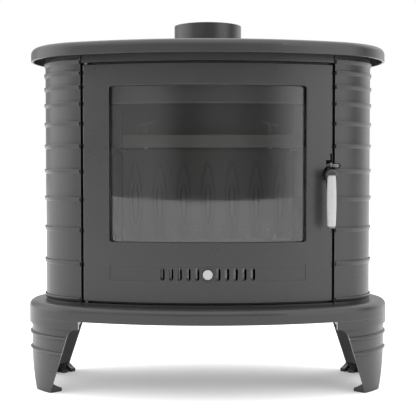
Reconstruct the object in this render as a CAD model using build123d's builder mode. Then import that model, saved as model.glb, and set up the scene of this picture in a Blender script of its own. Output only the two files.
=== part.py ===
from build123d import *
from math import asin, cos, degrees, radians, sin, sqrt
import os

os.makedirs("parts", exist_ok=True)

# A free-standing cast-iron stove. Millimetres, +Z up, the door faces -Y.
# The origin is on the floor, under the middle of the plates.

# ---------------------------------------------------------------- driving sizes
# Plan shapes: a wide arc front and back runs into a tighter arc at each side.
top_half_width = 380.0
top_half_depth = 212.0
plate_front_radius = 720.0
side_overhang = 30.0            # top plate beyond the body, at the sides
front_overhang = 42.0           # top plate beyond the body, front and back
base_spread = 6.0               # base plate beyond the top plate, at the sides
body_front_radius = 725.0

# Heights and walls of the plates and the body
leg_height = 153.4
base_rim_height = 31.0
body_height = 526.1
top_rim_drop = 19.7             # rim below the underside of the top deck
deck_thickness = 8.0
rim_wall = 5.0
rim_rounding = 13.0
rim_edge_radius = 1.5
panel_wall = 7.0
rib_count = 11
rib_width = 11.0
rib_height = 6.4
rib_foot = 7.6                  # lowest rib above the base plate
rib_head = 29.3                 # highest rib below the panel's top
rib_crowding = 0.0773           # each pitch is this share of the first one shorter
rib_notch = 3.0
rib_notch_height = 8.0

# Front and back plates between the side panels
door_end_margin = 14.5          # from the door's edge to the end of the front arc
door_gap = 4.4
rail_gap = 4.0                  # between the door and the rails above and below it
frame_setback = 17.0            # frame face behind the body's face
frame_thickness = 10.0
frame_lap = 20.0                # frame behind the side panel
land_width = 18.0
rail_recess = 1.5
frame_opening_side = 40.0       # from the door's edge to the firebox opening
frame_opening_sill = 27.0       # from the door's bottom edge to the opening
frame_opening_head = 21.0

# Door casting
door_thickness = 14.0
door_foot = 7.0                 # door above the base plate
door_head = 35.1                # door below the top of the body
door_edge_radius = 5.0
window_side = 56.0              # from the door's edge to the window
window_sill = 123.0
window_head = 44.4
window_corner = 6.0
window_edge_radius = 1.8
glass_thickness = 4.0
glass_lap = 7.0
glass_gasket_thickness = 2.0
glass_gasket_width = 6.0
glass_clearance = 0.5
rope_width = 8.0
rope_inset = 26.0               # rope's middle from the door's side edge
rope_inset_z = 10.4
rope_groove = 4.0
rope_clearance = 0.3

# Air control in the door
strip_foot = 44.0               # strip above the door's bottom edge
strip_height = 33.2
strip_depth = 1.2
slot_count = 5                  # each side of the knob
slot_pitch = 17.5
slot_first = 21.3
slot_width = 9.2
slot_height = 25.0
slot_rise = 14.6                # slots' middle above the strip's lower edge
shutter_slot_width = 8.0
shutter_thickness = 2.0
shutter_height = 38.0
shutter_end = 12.0
knob_radius = 10.0
knob_thickness = 7.0
knob_stem_radius = 3.0
shutter_open_travel = 4.0
shutter_close_travel = 4.6

# Hinge
hinge_inset = 7.0
hinge_pin_radius = 3.5
hinge_pin_length = 30.0
hinge_pin_reach = 9.5           # how far a pin stands out of the door
pin_clearance = 0.05

# Handle and latch
handle_height = 278.0           # lever's pin above the door's bottom edge
handle_inset = 6.6              # lever's middle from the door's edge
neck_width = 9.4
boss_radius = 12.0
boss_drop = 19.0                # boss's middle below the pin
grip_length = 102.7
grip_radius_middle = 9.8
grip_radius_end = 8.4
grip_reach = 38.0               # grip's axis in front of the pin
grip_bore = 3.5
grip_cap_height = 4.0
lever_pin_radius = 3.5
lever_pin_head_radius = 4.8
lever_pin_head_length = 12.0
latch_plate_thickness = 3.2
latch_offset = 2.9              # latch plate beside the lever's middle
boss_clearance = 1.7
boss_swing = 5.0                # room above the boss for its swing
neck_clearance = 3.2
keeper_thickness = 4.0
keeper_lip_gap = 0.5            # keeper's upper lip above the hook
keeper_half_width = 12.0
latch_nose_height = 12.0        # hook's nose above the pin

# Legs
leg_inset = 5.0
leg_wall = 8.0
leg_collar_height = 16.4
leg_collar_wall = 13.0
leg_rib_height = 4.0
leg_rib_width = 8.0
leg_rib_levels = (84.0, 116.0)
foot_slot_width = 9.0
leg_flange_thickness = 8.0
leg_bolt_radius = 5.0
leg_bolt_spread = 21.0          # degrees between a leg's two bolts

# Flue collar
flue_radius = 74.0
flue_wall = 5.0
flue_height = 60.5
flue_offset = 62.0              # behind the middle of the plates
flange_radius = 98.0
flange_thickness = 8.0
flange_bolt_circle = 86.0

# Firebox
liner_thickness = 8.0
liner_gap = 4.0                 # side liner inside the window's edge
liner_clearance = 0.5           # back liner's corners in front of the back panel
floor_rise = 98.0               # firebox floor above the base plate
floor_thickness = 8.0
baffle_thickness = 26.7
baffle_front_drop = 175.5       # baffle's front edge below the top of the body
baffle_rear_drop = 175.5
baffle_throat = 55.0            # smoke gap in front of the baffle
leaf_count = 7
leaf_width = 26.0
leaf_relief = 3.5
leaf_foot = 18.0
leaf_head = 29.3
tooth_count = 8
tooth_height = 22.0
log_rail_height = 14.0
ash_pan_wall = 1.5
grate_margin = 76.0             # from the side liner to the grate
airwash_drop = 35.0             # airwash plate's lip below the top of the window
airwash_lap = 16.0
airwash_thickness = 3.0
screw_radius = 3.0
screw_head_radius = 5.2
screw_head_height = 3.0

# Tie rods
tie_rod_radius = 5.0
tie_rod_boss_radius = 11.0
tie_rod_boss_height = 14.0
tie_rod_nut_radius = 9.5
tie_rod_nut_height = 8.0
tie_rod_tail = 14.0

# Leg details
leg_bolt_angle = -42.0           # middle of a leg's two bolts, round the side arc
leg_boss_radius = 12.0
leg_bolt_depth = 16.0
leg_side_gap = 8.0                      # collar's end from the middle of the side
leg_shoulder = 25.0                     # width of the hollow curve under the collar
leg_shoulder_drop = 16.0
foot_front_angle = 49.19
foot_side_angle = 29.65
lug_angle = -43.3
lug_tip_height = 7.5
lug_heel_height = 20.0
lug_width = 34.0
lug_slot_length = 17.0

# Screw seats and back ribs
head_clearance = 0.03
frame_screw_end = 42.1          # outer screws from the ends of the body
frame_screw_below = 33.6        # inner screws below and above the latch keeper
frame_screw_above = 11.7
back_rib_height = 4.0
back_rib_width = 9.0
back_rib_shares = (0.2, 0.4, 0.6, 0.8)

# Door fittings
handle_strip = 1.8                      # thin strip of door left beside the slot
latch_slot_rise = 13.3
knob_slot_clearance = 0.4
clip_width = 16.0
clip_thickness = 1.6
clip_grip = 5.0                         # clip's lap over the glass
clip_tail = 11.0                        # clip's length on the door
clip_screw_length = 7.0
guide_lip = 3.0
guide_height = 8.0
guide_clearance = 0.3
guide_screw_radius = 2.0
guide_screw_length = 9.0
clip_screw_radius = 2.5
latch_thickness_clearance = 0.1

# Firebox pieces
support_thickness = 5.0
shelf_thickness = 4.0
grate_thickness = 8.0
grate_lap = 5.0
grate_clearance = 1.5
grate_slot_width = 9.0
grate_slot_pitch = 20.0
ash_handle_radius = 4.0
ash_handle_half = 45.0
ash_handle_reach = 18.0
guard_thickness = 6.0
front_tooth_width = 7.5
rear_tooth_foot = 12.6
rear_tooth_tip = 5.0
comb_thickness = 7.0
hanger_width = 13.0
hanger_thickness = 6.0
ledge_width = 14.0
ledge_thickness = 4.0
ledge_rear_gap = 15.0           # ledge in front of the baffle's rear edge
ledge_length = 50.0
tab_length = 32.0
tab_height = 4.0
tab_thickness = 4.0
tab_rise = 9.0
tab_post_width = 7.0
tab_plate_height = 22.0

# ------------------------------------------------------------- derived positions
base_half_width = top_half_width + base_spread
base_half_depth = top_half_depth
body_half_width = top_half_width - side_overhang
body_half_depth = top_half_depth - front_overhang
front_centre_y = body_front_radius - body_half_depth

base_top_z = leg_height + base_rim_height
body_top_z = base_top_z + body_height
top_plate_z = body_top_z + deck_thickness
top_rim_z = body_top_z - top_rim_drop


def side_radius(half_width, half_depth, front_radius):
    """Radius of the side arc that is tangent to the front and back arcs."""
    centre = front_radius - half_depth
    return (front_radius**2 - half_width**2 - centre**2) / (2 * (front_radius - half_width))


def arc_end(half_width, half_depth, front_radius):
    """Where the front arc runs into the right-hand side arc."""
    span = front_radius - side_radius(half_width, half_depth, front_radius)
    centre = front_radius - half_depth
    return front_radius * (half_width + span - front_radius) / span, centre * (1 - front_radius / span)


body_side_radius = side_radius(body_half_width, body_half_depth, body_front_radius)
body_arc_end_x, body_arc_end_y = arc_end(body_half_width, body_half_depth, body_front_radius)
base_side_radius = side_radius(base_half_width, base_half_depth, plate_front_radius)
base_side_centre_x = base_half_width - base_side_radius

door_half_width = body_arc_end_x - door_end_margin
door_bottom_z = base_top_z + door_foot
door_top_z = body_top_z - door_head
door_height = door_top_z - door_bottom_z
door_inner_radius = body_front_radius - door_thickness
panel_edge_x = door_half_width + door_gap
land_end_x = panel_edge_x + land_width
frame_half_width = panel_edge_x + frame_lap
frame_outer_radius = body_front_radius - frame_setback
frame_inner_radius = frame_outer_radius - frame_thickness
frame_opening_x = door_half_width - frame_opening_side
frame_opening_bottom_z = door_bottom_z + frame_opening_sill
frame_opening_top_z = door_top_z - frame_opening_head

window_half_width = door_half_width - window_side
window_bottom_z = door_bottom_z + window_sill
window_top_z = door_top_z - window_head
window_middle_z = (window_bottom_z + window_top_z) / 2
window_height = window_top_z - window_bottom_z
glass_half_width = window_half_width + glass_lap
glass_height = window_height + 2 * glass_lap
glass_outer_radius = door_inner_radius + glass_thickness
glass_seat_radius = glass_outer_radius + glass_gasket_thickness

strip_bottom_z = door_bottom_z + strip_foot
slot_z = strip_bottom_z + slot_rise
knob_z = slot_z

pin_z = door_bottom_z + handle_height
lever_x = door_half_width - handle_inset
latch_x = lever_x + latch_offset
door_middle_radius = body_front_radius - door_thickness / 2
lever_pin_y = front_centre_y - sqrt(door_middle_radius**2 - (lever_x - neck_width / 2) ** 2)
boss_z = pin_z - boss_drop
grip_y = lever_pin_y - grip_reach

hinge_x = -(door_half_width - hinge_inset)
hinge_y = front_centre_y - sqrt((body_front_radius - hinge_inset) ** 2 - hinge_x**2)

liner_x = window_half_width - liner_gap
liner_outer_x = liner_x + liner_thickness
back_panel_y = sqrt(frame_inner_radius**2 - liner_outer_x**2) - front_centre_y
back_liner_y = back_panel_y - liner_clearance - liner_thickness
floor_z = base_top_z + floor_rise
fire_z = floor_z + floor_thickness
liner_front_y = front_centre_y - sqrt(frame_inner_radius**2 - liner_outer_x**2) + 2.0
firebox_depth = back_liner_y - liner_front_y
baffle_front_z = body_top_z - baffle_front_drop
baffle_rear_z = body_top_z - baffle_rear_drop
tie_rod_x = body_half_width - 68.0
tie_rod_y = body_side_radius * 0.45


# --------------------------------------------------------------- shared outlines
def outline(half_width, half_depth, front_radius, inset=0.0):
    """Closed plan outline of four tangent arcs, set in by the given amount."""
    width = half_width - inset
    depth = half_depth - inset
    x, y = arc_end(width, depth, front_radius - inset)
    with BuildSketch() as shape:
        with BuildLine():
            ThreePointArc((-x, y), (0, -depth), (x, y))
            ThreePointArc((x, y), (width, 0), (x, -y))
            ThreePointArc((x, -y), (0, depth), (-x, -y))
            ThreePointArc((-x, -y), (-width, 0), (-x, y))
        make_face()
    return shape.sketch


def top_outline(inset=0.0):
    return outline(top_half_width, top_half_depth, plate_front_radius, inset)


def base_outline(inset=0.0):
    return outline(base_half_width, base_half_depth, plate_front_radius, inset)


def body_outline(inset=0.0):
    return outline(body_half_width, body_half_depth, body_front_radius, inset)


def front_band(outer_radius, inner_radius, half_width):
    """Plan section between two radii about the front arc's centre, cut off at the sides."""
    with BuildSketch() as shape:
        with Locations((0, front_centre_y)):
            Circle(outer_radius)
            Circle(inner_radius, mode=Mode.SUBTRACT)
        with Locations((0, -top_half_depth)):
            Rectangle(2 * half_width, 2 * top_half_depth, mode=Mode.INTERSECT)
    return shape.sketch


def front_plane(x, z, radius):
    """Plane touching a front arc at x: local x to the right, y up, z out of the stove."""
    angle = asin(x / radius)
    origin = (x, front_centre_y - radius * cos(angle), z)
    return Plane(origin=origin, x_dir=(cos(angle), sin(angle), 0), z_dir=(sin(angle), -cos(angle), 0))


def back_plane(x, z, radius):
    """The same on the back of the stove, with z pointing out of it."""
    angle = asin(x / radius)
    origin = (x, radius * cos(angle) - front_centre_y, z)
    return Plane(origin=origin, x_dir=(-cos(angle), sin(angle), 0), z_dir=(sin(angle), cos(angle), 0))


def band_solid(outer_radius, inner_radius, half_width, bottom_z, height):
    with BuildPart() as solid:
        with BuildSketch(Plane.XY.offset(bottom_z)):
            add(front_band(outer_radius, inner_radius, half_width))
        extrude(amount=height)
    return solid.part


def front_ring(outer_radius, inner_radius, half_width, bottom_z, top_z, width):
    """A rectangular ring bent to the front arc, measured to its outer edges."""
    with BuildPart() as ring:
        add(band_solid(outer_radius, inner_radius, half_width, bottom_z, top_z - bottom_z))
        with Locations((0, 0, (bottom_z + top_z) / 2)):
            Box(2 * (half_width - width), 2 * top_half_depth, top_z - bottom_z - 2 * width, mode=Mode.SUBTRACT)
    return ring.part


def placed(planes, shape):
    """Copies of one shape, each moved from the XY plane to one of the planes."""
    return [plane.location * shape for plane in planes]


def peg(radius, length):
    """Round bar or drill that runs down from its plane."""
    with BuildPart() as bar:
        Cylinder(radius, length, align=(Align.CENTER, Align.CENTER, Align.MAX))
    return bar.part


def holes(planes, depth, radius=screw_radius):
    """Drilled holes for a row of screws."""
    return placed(planes, peg(radius + pin_clearance, depth))


def screw(shank_length, radius=screw_radius):
    """Pan-head screw: the head stands on the plane, the shank runs in behind it."""
    scale = radius / screw_radius
    with BuildPart() as body:
        Cylinder(screw_head_radius * scale, screw_head_height * scale,
                 align=(Align.CENTER, Align.CENTER, Align.MIN))
        fillet(body.edges().sort_by(Axis.Z)[-1], screw_head_height * scale * 0.4)
        add(peg(radius, shank_length))
    return body.part


def inward(plane):
    """The same plane facing the other way."""
    return Plane(origin=plane.origin, x_dir=-plane.x_dir, z_dir=-plane.z_dir)


# ------------------------------------------------------------------- top plate
tie_rod_places = [(x, y) for x in (-tie_rod_x, tie_rod_x) for y in (-tie_rod_y, tie_rod_y)]
flange_bolts = [
    Plane.XY.offset(top_plate_z + flange_thickness).shift_origin(
        (flange_bolt_circle * cos(radians(a)), flue_offset + flange_bolt_circle * sin(radians(a)),
         top_plate_z + flange_thickness)
    )
    for a in (45, 135, 225, 315)
]
flange_bolt_length = flange_thickness + 6.0

with BuildPart() as top_plate:
    with BuildSketch(Plane.XY.offset(top_rim_z)):
        add(top_outline())
    extrude(amount=top_plate_z - top_rim_z)
    fillet(top_plate.edges().group_by(Axis.Z)[-1], rim_rounding)
    fillet(top_plate.edges().group_by(Axis.Z)[0], rim_edge_radius)
    with BuildSketch(Plane.XY.offset(top_rim_z)):
        add(top_outline(rim_wall))
    extrude(amount=top_rim_drop, mode=Mode.SUBTRACT)
    with BuildSketch(Plane.XY.offset(body_top_z)):
        with Locations(*tie_rod_places):
            Circle(tie_rod_boss_radius)
    extrude(amount=-tie_rod_boss_height)
    with BuildSketch(Plane.XY.offset(body_top_z - tie_rod_boss_height)):
        with Locations(*tie_rod_places):
            Circle(tie_rod_radius + pin_clearance)
    extrude(amount=tie_rod_boss_height + deck_thickness / 4, mode=Mode.SUBTRACT)
    with BuildSketch(Plane.XY.offset(body_top_z)):
        with Locations((0, flue_offset)):
            Circle(flue_radius - flue_wall)
    extrude(amount=deck_thickness, mode=Mode.SUBTRACT)
    add(holes(flange_bolts, flange_bolt_length), mode=Mode.SUBTRACT)

# ----------------------------------------------------------------- flue collar
with BuildPart() as flue_collar:
    with BuildSketch(Plane.XY.offset(top_plate_z)):
        with Locations((0, flue_offset)):
            Circle(flange_radius)
    extrude(amount=flange_thickness)
    fillet(flue_collar.edges().group_by(Axis.Z)[-1], 2.0)
    with BuildSketch(Plane.XY.offset(top_plate_z)):
        with Locations((0, flue_offset)):
            Circle(flue_radius)
    extrude(amount=flue_height)
    with BuildSketch(Plane.XY.offset(top_plate_z)):
        with Locations((0, flue_offset)):
            Circle(flue_radius - flue_wall)
    extrude(amount=flue_height, mode=Mode.SUBTRACT)
    add(holes(flange_bolts, flange_bolt_length), mode=Mode.SUBTRACT)

with BuildPart() as flue_collar_bolts:
    add(placed(flange_bolts, screw(flange_bolt_length)))

# ------------------------------------------------------------------ base plate
leg_bolt_angles = (leg_bolt_angle - leg_bolt_spread / 2, leg_bolt_angle + leg_bolt_spread / 2)
leg_bolt_circle = base_side_radius - 30.0
leg_bolt_places = [
    (sx * (base_side_centre_x + leg_bolt_circle * cos(radians(a))), sy * leg_bolt_circle * sin(radians(a)))
    for sx in (-1, 1) for sy in (-1, 1) for a in leg_bolt_angles
]
hinge_hole_depth = hinge_pin_reach - door_foot + 0.5

with BuildPart() as base_plate:
    with BuildSketch(Plane.XY.offset(leg_height)):
        add(base_outline())
    extrude(amount=base_rim_height)
    fillet(base_plate.edges().group_by(Axis.Z)[-1], rim_rounding)
    with BuildSketch(Plane.XY.offset(leg_height)):
        add(base_outline(rim_wall))
    extrude(amount=base_rim_height - deck_thickness, mode=Mode.SUBTRACT)
    with BuildSketch(Plane.XY.offset(leg_height)):
        with Locations(*leg_bolt_places):
            Circle(leg_boss_radius)
    extrude(amount=base_rim_height - deck_thickness)
    with BuildSketch(Plane.XY.offset(leg_height)):
        with Locations(*leg_bolt_places):
            Circle(leg_bolt_radius + pin_clearance)
    extrude(amount=leg_bolt_depth, mode=Mode.SUBTRACT)
    with BuildSketch(Plane.XY.offset(base_top_z)):
        with Locations(*tie_rod_places):
            Circle(tie_rod_radius + pin_clearance)
    extrude(amount=-deck_thickness, mode=Mode.SUBTRACT)
    with BuildSketch(Plane.XY.offset(base_top_z)):
        with Locations((hinge_x, hinge_y)):
            Circle(hinge_pin_radius + pin_clearance)
    extrude(amount=-hinge_hole_depth, mode=Mode.SUBTRACT)

# ------------------------------------------------------------------------ legs
leg_inner_x = door_half_width + 6.0     # front end of a leg's collar
collar_bottom_z = leg_height - leg_collar_height
foot_radius = base_side_radius - leg_inset
foot_front_x = base_side_centre_x + foot_radius * cos(radians(foot_front_angle))
foot_side_y = foot_radius * sin(radians(foot_side_angle))
lug_inner_radius = base_side_radius - 33.9
lug_outer_radius = base_side_radius - 9.0


def leg_keep(start, shoulder, foot, far):
    """Outline of a leg in side view: a hollow curve below the collar, then a straight taper."""
    with BuildSketch() as shape:
        with BuildLine():
            ThreePointArc(
                (start, collar_bottom_z),
                (start + shoulder * 0.62, collar_bottom_z - leg_shoulder_drop * 0.30),
                (start + shoulder, collar_bottom_z - leg_shoulder_drop),
            )
            Polyline(
                (start + shoulder, collar_bottom_z - leg_shoulder_drop),
                (foot, 0),
                (far, 0),
                (far, collar_bottom_z),
                (start, collar_bottom_z),
            )
        make_face()
    return shape.sketch


def quarter(inset, wall, bottom_z, height):
    """Front right quarter of a wall that follows the base plate's edge."""
    with BuildPart() as shell:
        with BuildSketch(Plane.XY.offset(bottom_z)):
            add(base_outline(inset))
            add(base_outline(inset + wall), mode=Mode.SUBTRACT)
            with Locations((leg_inner_x, -leg_side_gap)):
                Rectangle(base_half_width, base_half_depth, align=(Align.MIN, Align.MAX), mode=Mode.INTERSECT)
        extrude(amount=height)
    return shell.part


def leg_ribs():
    """Two half-round ribs round the leg's outer face."""
    turn = base_side_radius - leg_inset
    with BuildPart() as ribs:
        for level in leg_rib_levels:
            with BuildSketch(Plane.XZ):
                with Locations((base_side_centre_x + turn, level)):
                    Ellipse(leg_rib_height, leg_rib_width / 2)
            revolve(axis=Axis((base_side_centre_x, 0, 0), (0, 0, 1)), revolution_arc=-66.0)
    return ribs.part


with BuildPart() as leg_shape:
    add(quarter(leg_inset, leg_wall, 0, collar_bottom_z))
    add(leg_ribs())
    with BuildSketch(Plane.XZ):
        add(leg_keep(leg_inner_x, leg_shoulder, foot_front_x, base_half_width + leg_rib_height))
    extrude(amount=base_half_depth + leg_rib_height, mode=Mode.INTERSECT)
    with BuildSketch(Plane.YZ):
        add(mirror(leg_keep(leg_side_gap, leg_shoulder / 4, foot_side_y, base_half_depth), about=Plane.YZ))
    extrude(amount=base_half_width + leg_rib_height, mode=Mode.INTERSECT)
    add(quarter(0, leg_collar_wall, collar_bottom_z, leg_collar_height))
    add(quarter(leg_inset, 45.0, leg_height - leg_flange_thickness, leg_flange_thickness))
    lug_direction = (cos(radians(lug_angle)), sin(radians(lug_angle)), 0)
    lug_side = (sin(radians(lug_angle)), -cos(radians(lug_angle)), 0)
    with BuildSketch(Plane(origin=(base_side_centre_x, 0, 0), x_dir=lug_direction, z_dir=lug_side)):
        with BuildLine():
            Polyline(
                (lug_inner_radius, 0),
                (lug_outer_radius, 0),
                (lug_outer_radius, lug_heel_height),
                (lug_inner_radius + 6.0, lug_tip_height + 2.0),
                (lug_inner_radius, lug_tip_height),
                close=True,
            )
        make_face()
    extrude(amount=lug_width / 2, both=True)
    slot_plane = Plane(origin=(base_side_centre_x, 0, 0), x_dir=lug_direction, z_dir=(0, 0, 1))
    with BuildSketch(slot_plane):
        with Locations((lug_inner_radius + (lug_slot_length - foot_slot_width) / 2, 0)):
            SlotOverall(lug_slot_length + foot_slot_width, foot_slot_width)
    extrude(amount=lug_heel_height, mode=Mode.SUBTRACT)
    with BuildSketch(Plane.XY.offset(leg_height)):
        with Locations(*[(x, y) for x, y in leg_bolt_places if x > 0 and y < 0]):
            Circle(leg_bolt_radius + pin_clearance)
    extrude(amount=-leg_flange_thickness, mode=Mode.SUBTRACT)

leg_bolt_planes = [
    Plane(origin=(x, y, leg_height - leg_flange_thickness), x_dir=(1, 0, 0), z_dir=(0, 0, -1))
    for x, y in leg_bolt_places
]

with BuildPart() as leg_front_right:
    add(leg_shape.part)

with BuildPart() as leg_front_left:
    add(mirror(leg_shape.part, about=Plane.YZ))

with BuildPart() as leg_rear_right:
    add(mirror(leg_shape.part, about=Plane.XZ))

with BuildPart() as leg_rear_left:
    add(mirror(leg_rear_right.part, about=Plane.YZ))

with BuildPart() as leg_bolts:
    add(placed(leg_bolt_planes, screw(leg_flange_thickness + leg_bolt_depth, leg_bolt_radius)))

# ----------------------------------------------------------- frame and screws
frame_screw_x = (panel_edge_x + land_end_x) / 2
frame_screw_grip = frame_thickness + 8.0
latch_slot_top_z = pin_z + 20.0
latch_slot_bottom_z = pin_z - 42.0
keeper_bottom_z = latch_slot_bottom_z - 20.0
keeper_top_z = latch_slot_top_z + 20.0
frame_screw_levels = [
    base_top_z + frame_screw_end,
    keeper_bottom_z - frame_screw_below,
    keeper_top_z + frame_screw_above,
    body_top_z - frame_screw_end,
]
front_screw_planes = [
    inward(front_plane(side * frame_screw_x, z, frame_inner_radius - head_clearance))
    for side in (-1, 1) for z in frame_screw_levels
]
back_screw_planes = [
    inward(back_plane(side * frame_screw_x, z, frame_inner_radius - head_clearance))
    for side in (-1, 1) for z in frame_screw_levels
]
screw_drill = peg(screw_radius + pin_clearance, frame_screw_grip)

latch_slot_half = latch_plate_thickness / 2 + 3.0
keeper_screw_length = keeper_thickness + frame_thickness - 2.0
keeper_screw_planes = [
    inward(front_plane(latch_x, z, frame_inner_radius - keeper_thickness - head_clearance))
    for z in (keeper_bottom_z + 8.0, keeper_top_z - 8.0)
]
airwash_drop_z = window_top_z - airwash_drop
airwash_screw_planes = [
    inward(front_plane(x, frame_opening_top_z + airwash_lap / 2,
                       frame_inner_radius - airwash_thickness - head_clearance))
    for x in (-frame_opening_x * 0.75, 0, frame_opening_x * 0.75)
]
airwash_screw_length = airwash_thickness + frame_thickness - 2.0
rail_half_width = door_half_width + door_gap / 2
upper_rail_z = door_top_z + rail_gap
lower_rail_height = door_foot - rail_gap


def xz_opening(x, bottom_z, top_z, width, corner):
    """Rounded window profile in the front view."""
    with BuildSketch() as shape:
        with Locations((x, (bottom_z + top_z) / 2)):
            RectangleRounded(width, top_z - bottom_z, corner)
    return shape.sketch


with BuildPart() as front_frame:
    add(band_solid(frame_outer_radius, frame_inner_radius, frame_half_width, base_top_z, body_height))
    add(band_solid(body_front_radius - rail_recess, frame_inner_radius, rail_half_width,
                   upper_rail_z, body_top_z - upper_rail_z))
    add(band_solid(body_front_radius - rail_recess, frame_inner_radius, rail_half_width,
                   base_top_z, lower_rail_height))
    with BuildSketch(Plane.XZ):
        add(xz_opening(0, frame_opening_bottom_z, frame_opening_top_z, 2 * frame_opening_x, 8.0))
        add(xz_opening(latch_x, latch_slot_bottom_z, latch_slot_top_z, 2 * latch_slot_half, 2.0))
    extrude(amount=top_half_depth, mode=Mode.SUBTRACT)
    with BuildSketch(Plane.XY.offset(upper_rail_z)):
        with Locations((hinge_x, hinge_y)):
            Circle(hinge_pin_radius + pin_clearance)
    extrude(amount=hinge_pin_reach, mode=Mode.SUBTRACT)
    with BuildSketch(Plane.XY.offset(base_top_z)):
        with Locations((hinge_x, hinge_y)):
            Circle(hinge_pin_radius + pin_clearance)
    extrude(amount=lower_rail_height, mode=Mode.SUBTRACT)
    add(placed(front_screw_planes, screw_drill), mode=Mode.SUBTRACT)
    add(holes(keeper_screw_planes, keeper_screw_length), mode=Mode.SUBTRACT)
    add(holes(airwash_screw_planes, airwash_screw_length), mode=Mode.SUBTRACT)

with BuildPart() as frame_screws:
    add(placed(front_screw_planes, screw(frame_screw_grip)))

# ------------------------------------------------------------------ back panel

with BuildPart() as back_shape:
    add(band_solid(frame_outer_radius, frame_inner_radius, frame_half_width, base_top_z, body_height))
    for share in back_rib_shares:
        level = base_top_z + body_height * share - back_rib_width / 2
        add(band_solid(frame_outer_radius + back_rib_height, frame_inner_radius,
                       panel_edge_x - back_rib_width, level, back_rib_width))

with BuildPart() as back_panel:
    add(mirror(back_shape.part, about=Plane.XZ))
    add(placed(back_screw_planes, screw_drill), mode=Mode.SUBTRACT)

with BuildPart() as back_panel_screws:
    add(placed(back_screw_planes, screw(frame_screw_grip)))

# ----------------------------------------------------------------- side panels
rib_span = body_height - rib_foot - rib_head
first_pitch = rib_span / (rib_count - 1 - rib_crowding * (rib_count - 1) * (rib_count - 2) / 2)
rib_levels = [
    base_top_z + rib_foot + first_pitch * (n - rib_crowding * n * (n - 1) / 2) for n in range(rib_count)
]
panel_edge_y = front_centre_y - sqrt(body_front_radius**2 - panel_edge_x**2)
panel_edge_angle = degrees(asin(panel_edge_x / body_front_radius))
half_way = radians((panel_edge_angle + degrees(asin(body_arc_end_x / body_front_radius))) / 2)
half_way_point = (body_front_radius * sin(half_way), front_centre_y - body_front_radius * cos(half_way))


def land(direction):
    """Solid strip behind the panel's edge that the frame or the back panel is screwed to."""
    with BuildSketch() as shape:
        add(body_outline())
        with Locations((0, -direction * front_centre_y)):
            Circle(frame_outer_radius, mode=Mode.SUBTRACT)
        with Locations(((panel_edge_x + land_end_x) / 2, direction * body_half_depth / 2)):
            Rectangle(land_width, body_half_depth, mode=Mode.INTERSECT)
    return shape.sketch


with BuildPart() as rib:
    with BuildLine():
        ThreePointArc((panel_edge_x, panel_edge_y), half_way_point, (body_arc_end_x, body_arc_end_y))
        ThreePointArc((body_arc_end_x, body_arc_end_y), (body_half_width, 0),
                      (body_arc_end_x, -body_arc_end_y))
        ThreePointArc((body_arc_end_x, -body_arc_end_y), (half_way_point[0], -half_way_point[1]),
                      (panel_edge_x, -panel_edge_y))
    with BuildSketch(front_plane(panel_edge_x, 0, body_front_radius).rotated((0, 90, 0))):
        Ellipse(rib_height, rib_width / 2)
    sweep()

with BuildPart() as panel_shape:
    with BuildSketch(Plane.XY.offset(base_top_z)):
        add(body_outline())
        add(body_outline(panel_wall), mode=Mode.SUBTRACT)
        with Locations((panel_edge_x, 0)):
            Rectangle(body_half_width, 2 * body_half_depth, align=(Align.MIN, Align.CENTER),
                      mode=Mode.INTERSECT)
        add(land(-1))
        add(land(1))
    extrude(amount=body_height)
    with Locations(*[(0, 0, z) for z in rib_levels]):
        add(rib.part)
    with Locations((panel_edge_x, 0, base_top_z)):
        Box(body_half_width, 2 * body_half_depth, body_height, align=(Align.MIN, Align.CENTER, Align.MIN),
            mode=Mode.INTERSECT)
    for edge_y in (panel_edge_y, -panel_edge_y):
        with Locations(*[(panel_edge_x, edge_y, z) for z in rib_levels]):
            Box(2 * rib_notch, 2 * panel_wall, rib_notch_height, mode=Mode.SUBTRACT)
    drills = placed(front_screw_planes + back_screw_planes, screw_drill)
    add([drill for drill in drills if drill.center().X > 0], mode=Mode.SUBTRACT)

with BuildPart() as side_panel_left:
    add(mirror(panel_shape.part, about=Plane.YZ))

with BuildPart() as side_panel_right:
    add(panel_shape.part)
    with BuildSketch(Plane.XZ.offset(-lever_pin_y - lever_pin_head_radius - 1.0)):
        with Locations((panel_edge_x, pin_z)):
            SlotOverall(2 * (lever_pin_head_length + 1.0), 2 * (lever_pin_head_radius + 0.8))
    extrude(amount=body_half_depth, mode=Mode.SUBTRACT)
    with BuildSketch(Plane.XZ.offset(-lever_pin_y - boss_radius)):
        with Locations((lever_x, boss_z)):
            Circle(boss_radius + boss_clearance)
    extrude(amount=body_half_depth, mode=Mode.SUBTRACT)

# ------------------------------------------------------------------- tie rods
base_deck_z = base_top_z - deck_thickness

with BuildPart() as tie_rods:
    with BuildSketch(Plane.XY.offset(base_deck_z - tie_rod_tail)):
        with Locations(*tie_rod_places):
            Circle(tie_rod_radius)
    extrude(amount=body_top_z - base_deck_z + tie_rod_tail)

with BuildPart() as tie_rod_nuts:
    with BuildSketch(Plane.XY.offset(base_deck_z)):
        with Locations(*tie_rod_places):
            RegularPolygon(tie_rod_nut_radius, 6)
            Circle(tie_rod_radius + pin_clearance, mode=Mode.SUBTRACT)
    extrude(amount=-tie_rod_nut_height)

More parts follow.
